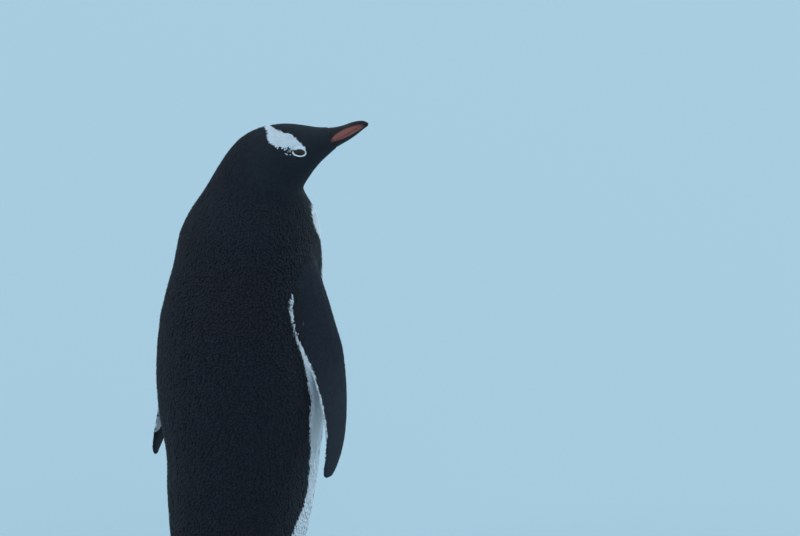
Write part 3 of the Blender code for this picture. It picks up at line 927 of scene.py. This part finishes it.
def quill_path(skin, around, last, off):
    """Points along the tail at one place round it, and the ways along and outwards there."""
    root, tip = (np.array((0.0, *place)) for place in TAIL_LINE)
    along = unit(tip - root)
    rise = np.array((0.0, along[2], -along[1]))
    way = np.array((math.cos(around) * TAIL_OVAL[0], 0, 0)) + rise * math.sin(around) * TAIL_OVAL[1]
    limit = 1.25 * np.linalg.norm(way)
    way = unit(way)
    points = []
    reach = limit
    for share in np.linspace(0.02, last, QUILL_ROWS):
        centre = root + (tip - root) * share
        found = skin.tree.ray_cast(from_body(centre).tolist(), (way * (1, -1, 1)).tolist())
        reach = min(found[3] / MM, limit * (1.0 - 0.35 * share)) if found[3] else reach * 0.8
        points.append(centre + way * (reach + off))
    return np.array(points), along, way


def quill_faces():
    columns = len(QUILL_SIDES)
    corner = np.arange(QUILL_ROWS * columns).reshape(QUILL_ROWS, columns)
    a, b, c, d = corner[:-1, :-1], corner[:-1, 1:], corner[1:, 1:], corner[1:, :-1]
    return np.concatenate([np.stack([a, b, c], -1).reshape(-1, 3), np.stack([a, c, d], -1).reshape(-1, 3)])


def add_quills(skin, random, material):
    """The tail's long feathers: narrow vanes with raised shafts, shorter at the sides."""
    order = random.permutation(QUILLS)
    side = np.abs(QUILL_SIDES)
    ridge = 0.4 * ease(0.25, 0.0, side) - 0.9 * side**1.5
    shaft = ease(0.2, 0.05, side)
    share = np.linspace(0, 1, QUILL_ROWS)
    half = np.sqrt(np.clip(1 - ((share - 0.45) / 0.56) ** 4, 0, 1)) * (0.75 + 0.25 * ease(0, 0.3, share))
    half *= QUILL_HALF
    points, normals, tints, barbs, places = [], [], [], [], []
    for k in range(QUILLS):
        around = math.tau * (k + 0.5 + random.uniform(-0.2, 0.2)) / QUILLS
        last = 1.07 - 0.12 * abs(math.cos(around)) ** 3 - random.uniform(0, 0.05)
        path, along, way = quill_path(skin, around, last, 0.3 + 1.3 * order[k] / QUILLS)
        across = unit(np.cross(way, along))
        offs = QUILL_SIDES[None, :, None] * across * half[:, None, None]
        points.append((path[:, None] + offs + way * ridge[:, None]).reshape(-1, 3))
        normals.append(np.tile(unit(way + across * QUILL_SIDES[:, None] * 0.35), (QUILL_ROWS, 1)))
        tint = blend(TINTS["tail"] * random.uniform(0.8, 1.25), TINTS["shaft"], shaft)
        tints.append(np.tile(tint, (QUILL_ROWS, 1)))
        length = np.linalg.norm(path[-1] - path[0])
        barbs.append((share[:, None] * length - side * half[:, None] * 1.4).ravel())
        places.append(path[0])
    points = np.array(points)
    points[..., 2] = np.maximum(points[..., 2], LOWEST)
    where = from_body(np.array(places))
    spots = unwrap(where, np.zeros_like(where), "body")
    flat = np.stack([np.tile(QUILL_SIDES, QUILL_ROWS), np.repeat(share - 0.5, len(side))], 1)
    rows = from_body(points), np.array(normals) * (1, -1, 1), np.array(tints), np.array(barbs)
    add_feathers("tail_long", "tail", material, quill_faces(), flat, spots, *rows)


# ---- materials


def new_material(name, roughness, spread, specular):
    """A material coloured by the markings and a little noise."""
    material = bpy.data.materials.new(name)
    material.use_nodes = True
    tree = material.node_tree
    shader = tree.nodes["Principled BSDF"]
    shader.inputs["Roughness"].default_value = roughness
    shader.inputs["Specular IOR Level"].default_value = specular
    mix = add_node(tree, "Mix", data_type="RGBA", blend_type="MULTIPLY")
    mix.inputs["Factor"].default_value = 1.0
    grey = add_node(tree, "CombineColor")
    level = remap(tree, noise(tree, 45), 1 - spread, 1 + spread)
    for socket in ("Red", "Green", "Blue"):
        tree.links.new(level, grey.inputs[socket])
    tree.links.new(add_node(tree, "Attribute", attribute_name="tint").outputs["Color"], mix.inputs["A"])
    tree.links.new(grey.outputs["Color"], mix.inputs["B"])
    tree.links.new(mix.outputs["Result"], shader.inputs["Base Color"])
    return material, tree, shader


def add_node(tree, kind, **settings):
    node = tree.nodes.new("ShaderNode" + kind)
    for name, value in settings.items():
        setattr(node, name, value)
    return node


def in_place(tree, node):
    """A texture node laid in the model's own space, per metre."""
    place = add_node(tree, "TexCoord")
    tree.links.new(place.outputs["Object"], node.inputs["Vector"])
    return node


def noise(tree, scale, detail=3.0):
    node = in_place(tree, add_node(tree, "TexNoise"))
    node.inputs["Scale"].default_value = scale
    node.inputs["Detail"].default_value = detail
    return node.outputs["Fac"]


def remap(tree, value, low, high):
    node = add_node(tree, "MapRange")
    node.inputs["To Min"].default_value = low
    node.inputs["To Max"].default_value = high
    tree.links.new(value, node.inputs["Value"])
    return node.outputs["Result"]


def roughened(tree, shader, scale, low, high):
    tree.links.new(remap(tree, noise(tree, scale), low, high), shader.inputs["Roughness"])


def bumped(tree, shader, height, distance, strength=1.0):
    bump = add_node(tree, "Bump")
    bump.inputs["Distance"].default_value = distance
    bump.inputs["Strength"].default_value = strength
    tree.links.new(height, bump.inputs["Height"])
    tree.links.new(bump.outputs["Normal"], shader.inputs["Normal"])


def coat_material():
    """Feathers, with fine barbs that slant out from the shaft."""
    material, tree, shader = new_material("plumage", 0.6, 0.09, 0.12)
    along = add_node(tree, "Math", operation="MULTIPLY")
    along.inputs[1].default_value = BARBS
    tree.links.new(add_node(tree, "Attribute", attribute_name="barb").outputs["Fac"], along.inputs[0])
    wave = add_node(tree, "Math", operation="SINE")
    tree.links.new(along.outputs[0], wave.inputs[0])
    bumped(tree, shader, wave.outputs[0], 0.00006)
    roughened(tree, shader, 90, 0.50, 0.72)
    shader.inputs["Sheen Weight"].default_value = 0.02
    shader.inputs["Sheen Roughness"].default_value = 0.4
    return material


def skin_material():
    """Skin, with small round scales where it is bare."""
    material, tree, shader = new_material("skin", 0.6, 0.2, 0.2)
    cells = in_place(tree, add_node(tree, "TexVoronoi"))
    cells.inputs["Scale"].default_value = 420.0
    bumped(tree, shader, cells.outputs["Distance"], 0.0009, 0.6)
    roughened(tree, shader, 120, 0.45, 0.7)
    return material


def horn_material(name, roughness, grain):
    material, tree, shader = new_material(name, roughness, 0.15, 0.18)
    bumped(tree, shader, noise(tree, grain, 5), 0.0002, 0.5)
    roughened(tree, shader, 150, roughness - 0.08, roughness + 0.1)
    return material


def eye_material():
    """Iris and pupil under a clear wet coat."""
    material, tree, shader = new_material("eye", 0.4, 0.25, 0.1)
    bumped(tree, shader, noise(tree, 900), 0.00002, 0.3)
    shader.inputs["Coat Weight"].default_value = 0.45
    shader.inputs["Coat Roughness"].default_value = 0.03
    return material


# ---- pieces


def add_skin(skin, random, material):
    tint = colours(skin.points, skin.normals, skin.labels, random, 0.0)
    for word in SIDES:
        local, almond = eye_places(skin.points, word)
        front = local[:, 2] > 0
        gap = (local[:, 0] < -4.5) & (local[:, 1] > 0.5)
        ring = np.hypot(local[:, 0] / LID_RING[0], local[:, 1] / LID_RING[1])
        tint = blend(tint, TINTS["lid"], ease(1.04, 0.96, ring) * front * ~gap)
        tint = blend(tint, TINTS["rim"], ease(1.10, 1.02, almond) * front)
    foot = ease(1, -1, skin.body[:, 2] - ankle(skin.body)) * ~is_part(skin.labels, "tail")
    sole = ease(-0.3, -0.6, skin.normals[:, 2]) * ease(6, 4, skin.body[:, 2])
    tint = blend(tint, blend(TINTS["foot"], TINTS["sole"], sole), foot)
    mesh = tinted_mesh("skin", skin.points, skin.faces, tint)
    add_piece(mesh, material, "back_feathers", *FLESH)


def add_eyes(material):
    """Eyeballs that look along their axes, with a raised cornea."""
    for word in SIDES:
        made = bmesh.new()
        bmesh.ops.create_uvsphere(made, u_segments=64, v_segments=48, radius=1.0)
        ball, faces = finished(made)
        faces = np.unique(faces, axis=0)  # the sphere's own order differs from run to run
        centre, axes = eye_frame(word)
        off = np.degrees(np.arccos(np.clip(ball[:, 2], -1, 1)))
        rise = 1 + CORNEA[2] * ease(CORNEA[0], CORNEA[1], off)
        points = centre + (ball * rise[:, None]) @ axes * EYE_RADIUS * BALL_SIZE
        iris = TINTS["iris"] * (0.6 + 0.4 * ease(17, 34, off)[:, None])
        tint = blend(TINTS["pupil"], iris, ease(*PUPIL_EDGE, off))
        tint = blend(tint, TINTS["eyeball"], ease(*IRIS_EDGE, off))
        mesh = tinted_mesh("eyeball_" + word, points, faces, tint)
        add_piece(mesh, material, "eye_brown", "eye_" + word)


def fine_copy(node, rounds):
    """A CAD node cast finely and smoothed, as points and faces."""
    points, faces = cast(*welded(node), HORN_VOXEL)
    return Web(faces, len(points)).smooth(points, rounds), faces


def rooted(points, head):
    """The horn carried back into the head, and drawn in a little there."""
    ahead = (head - BILL_BASE) @ BILL_PLANE
    base = ahead.min()
    back = ease(base + 1.0, base, ahead)[:, None]
    centre = BILL_BASE @ HEAD_AXES * MM + HEAD_MIDDLE
    drawn = centre + (points - centre) * (1 - 0.06 * back)
    return drawn - (BILL_PLANE @ HEAD_AXES) * BILL_ROOT * MM * back


def add_bill(material):
    for half, slot in (("upper", "bill_black"), ("lower", "bill_orange")):
        points, faces = fine_copy("bill_" + half, 5)
        points = points + vertex_normals(points, faces) * BILL_SWELL * MM
        head = in_head(points)
        tint = blend(TINTS["bill"], TINTS["orange"], orange_share(head))
        mesh = tinted_mesh("horn_" + half, rooted(points, head), faces, tint)
        add_piece(mesh, material, slot, "bill_" + half)


def add_claws(material):
    for word in SIDES:
        for toe in ("inner", "middle", "outer", "hind"):
            toe = f"{word}_{toe}"
            mesh = tinted_mesh("nail_" + toe, *fine_copy("claw_" + toe, 4), TINTS["claw"])
            add_piece(mesh, material, "claw_horn", "claw_" + toe)


def add_floor():
    corners = np.array([(-1, -1, 0), (1, -1, 0), (1, 1, 0), (-1, 1, 0)]) * FLOOR_HALF
    mesh = make_mesh("floor", corners, np.array([(0, 1, 2, 3)]))
    material = bpy.data.materials.new("floor")
    material.use_nodes = True
    shader = material.node_tree.nodes["Principled BSDF"]
    shader.inputs["Roughness"].default_value = 0.9
    shader.inputs["Base Color"].default_value = FLOOR_COLOUR
    mesh.materials.append(material)
    add_object("floor", mesh)


def place_object(name, data, location, toward, track):
    """A light or camera whose given axis points the given way, upright."""
    thing = add_object(name, data)
    thing.location = location
    thing.rotation_mode = "QUATERNION"
    thing.rotation_quaternion = toward.to_track_quat(track, "Y")
    return thing


def add_lights():
    world = bpy.data.worlds.new("studio")
    world.use_nodes = True
    background = world.node_tree.nodes["Background"]
    background.inputs["Color"].default_value, background.inputs["Strength"].default_value = SKY
    bpy.context.scene.world = world
    for name, place, spread, power, colour in LIGHTS:
        light = bpy.data.lights.new(name, "SUN")
        light.angle = math.radians(spread)
        light.energy = power
        light.color = colour
        place_object(name, light, place, Vector(LIGHT_AIM) - Vector(place), "-Z")


def add_camera():
    azimuth, rise = math.radians(CAMERA["azimuth"]), math.radians(CAMERA["elevation"])
    level = Vector((math.sin(azimuth), -math.cos(azimuth), 0))
    back = level * math.cos(rise) + Vector((0, 0, math.sin(rise)))
    right = Vector((math.cos(azimuth), math.sin(azimuth), 0))
    aim = Vector(BODY_ORIGIN) + right * CAMERA_AIM[0] + back.cross(right) * CAMERA_AIM[1]
    camera = bpy.data.cameras.new("camera")
    camera.lens = CAMERA["lens"]
    camera.sensor_width = 36
    camera.clip_end = 50
    place = aim + back * CAMERA["distance"]
    bpy.context.scene.camera = place_object("camera", camera, place, back, "Z")


def main():
    random = np.random.default_rng(SEED)
    plumage = coat_material()
    skin = Skin()
    add_skin(skin, random, skin_material())
    add_eyes(eye_material())
    add_bill(horn_material("bill", 0.35, 500))
    add_claws(horn_material("claw", 0.4, 700))
    add_coat(Coat(skin, random), plumage)
    add_quills(skin, random, plumage)
    add_floor()
    add_lights()
    add_camera()


main()
bpy.context.scene.view_settings.view_transform = "Standard"
